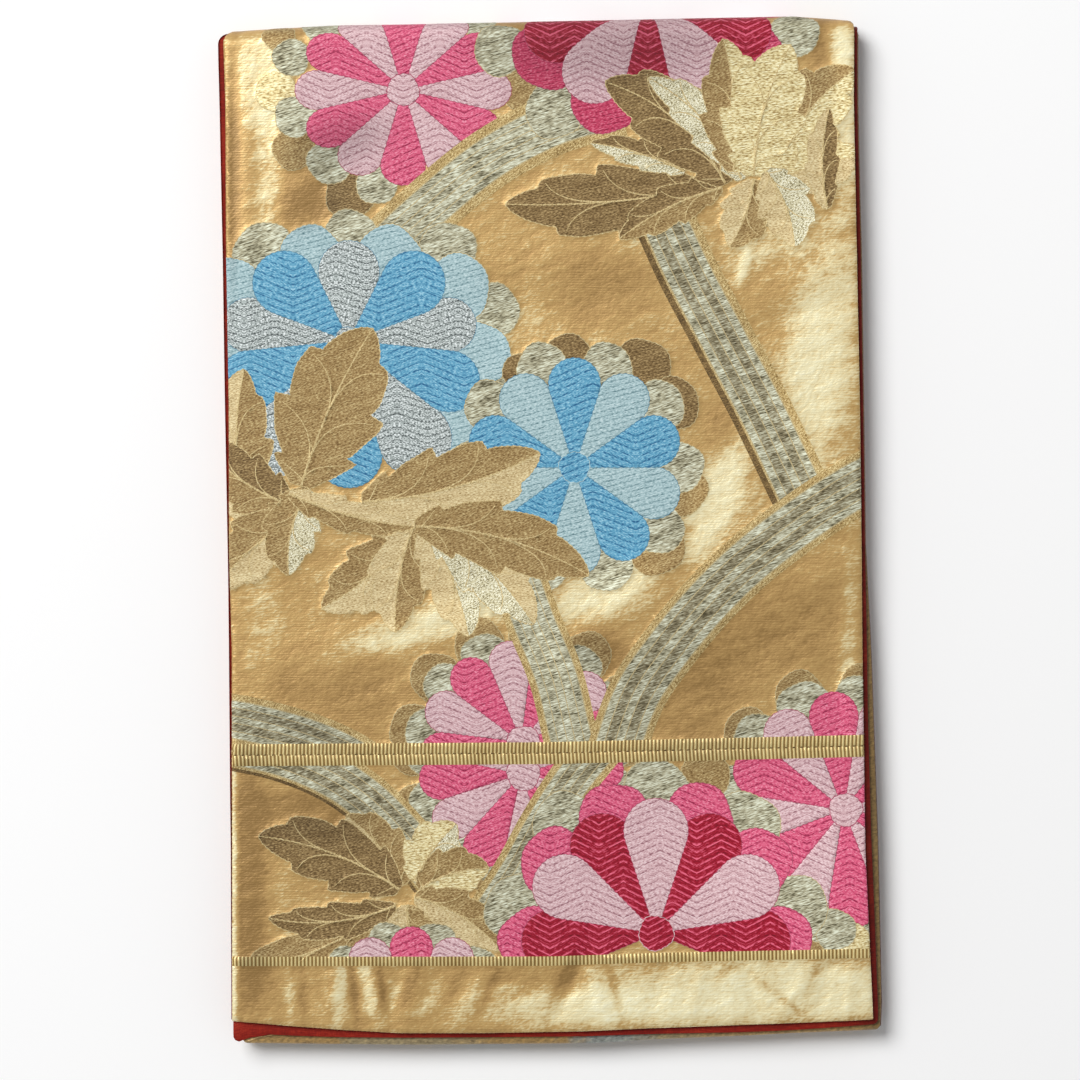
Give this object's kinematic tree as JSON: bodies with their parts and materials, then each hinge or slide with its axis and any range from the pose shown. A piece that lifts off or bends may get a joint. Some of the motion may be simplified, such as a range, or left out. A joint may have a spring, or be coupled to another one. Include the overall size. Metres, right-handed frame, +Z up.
{
  "type": "folded obi sash",
  "caption": "Wide double-cloth kimono sash folded into a flat rectangular bundle, gold figured brocade face outward over a plain red lining, lying on a surface",
  "frame": {"origin": "middle of the folded bundle's outline, on the surface it lies on", "axes": "+Z up; +Y along the bundle from the hem of the decorated end towards the outer fold; +X across it, to the right when the hem is nearest"},
  "size_m": [0.3256, 0.5059, 0.0187],
  "materials": {
    "brocade_face": "gold foil brocade with woven flowers, leaves and ribbons, satin sheen",
    "lining": "plain-woven orange-red silk, low sheen"
  },
  "bodies": {
    "root": {"face_tare": "brocade_face", "face_top_fold": "brocade_face", "face_under": "brocade_face", "face_bottom_fold": "brocade_face", "face_mid_fold": "brocade_face", "lining_tare": "lining", "lining_top_fold": "lining", "lining_under": "lining", "hand_end": "lining", "folded_core": "lining"}
  },
  "joints": []
}
